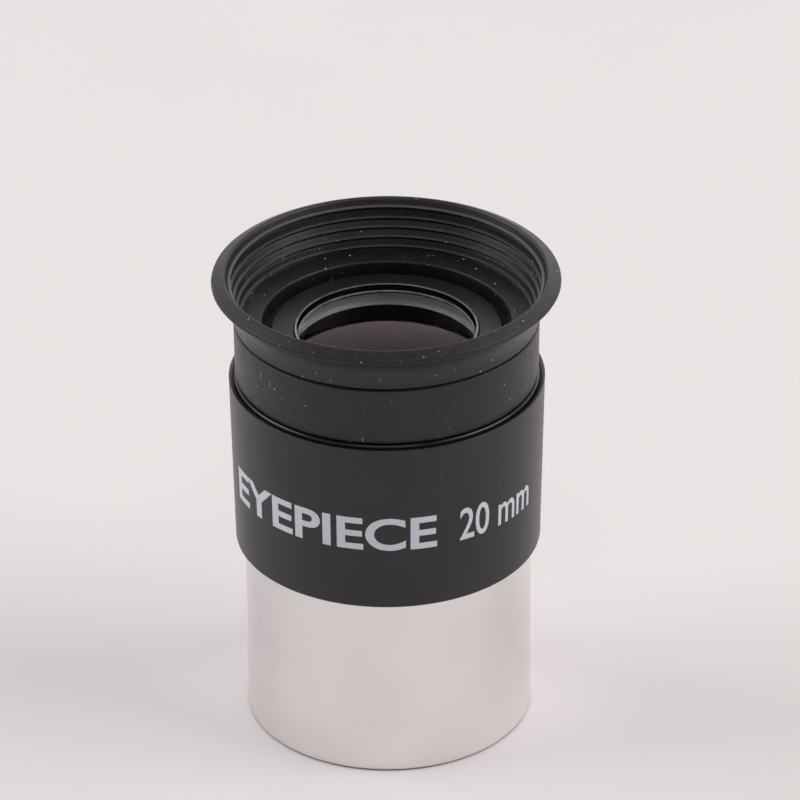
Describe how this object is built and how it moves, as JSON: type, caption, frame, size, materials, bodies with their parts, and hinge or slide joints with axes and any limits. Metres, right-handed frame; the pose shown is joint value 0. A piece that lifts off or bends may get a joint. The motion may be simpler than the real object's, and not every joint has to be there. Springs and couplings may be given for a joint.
{
  "type": "telescope eyepiece",
  "caption": "Telescope eyepiece with a plain push-in barrel, a black lens housing, two cemented lens pairs and a fold-down ribbed rubber eyecup.",
  "frame": {"origin": "centre of the barrel's lower end, on which the eyepiece stands", "axes": "+Z along the optical axis, from the barrel towards the eye; X and Y are free, because every piece is round about Z"},
  "size_m": [0.038, 0.038, 0.0542],
  "materials": {
    "barrel_chrome": "satin",
    "sleeve_black": "satin black lacquer over aluminium",
    "cell_black": "satin",
    "black_anodised": "matte",
    "eyecup_rubber": "matte",
    "coated_glass": "polished"
  },
  "bodies": {
    "barrel": {"barrel": "barrel_chrome", "field_stop_ring": "black_anodised"},
    "thread_carrier": {"lens_spacer_ring": "black_anodised"},
    "housing": {"lens_cell": "cell_black", "body_sleeve": "sleeve_black", "eye_flint_lens": "coated_glass", "eye_crown_lens": "coated_glass", "field_crown_lens": "coated_glass", "field_flint_lens": "coated_glass", "lens_retaining_ring": "black_anodised", "eyecup_skirt": "eyecup_rubber", "eyecup_flare": "eyecup_rubber"},
    "eyecup_rim": {"eyecup_rim": "eyecup_rubber"}
  },
  "joints": [
    {"name": "barrel_lift", "type": "slide", "parent": "barrel", "child": "thread_carrier", "axis": [0, 0, 1], "range_m": [0, 0.0049]},
    {"name": "barrel_unscrew", "type": "hinge", "parent": "thread_carrier", "child": "housing", "pos_m": [0, 0, 0], "axis": [0, 0, 1], "range_deg": [0, 2340]},
    {"name": "eyecup_fold", "type": "slide", "parent": "housing", "child": "eyecup_rim", "axis": [0, 0, 1], "range_m": [-0.0091, 0], "deforming": ["eyecup_flare"]}
  ],
  "couplings": [
    {"joint": "barrel_lift", "follows": "barrel_unscrew", "m_per_rad": 0.00011937}
  ]
}
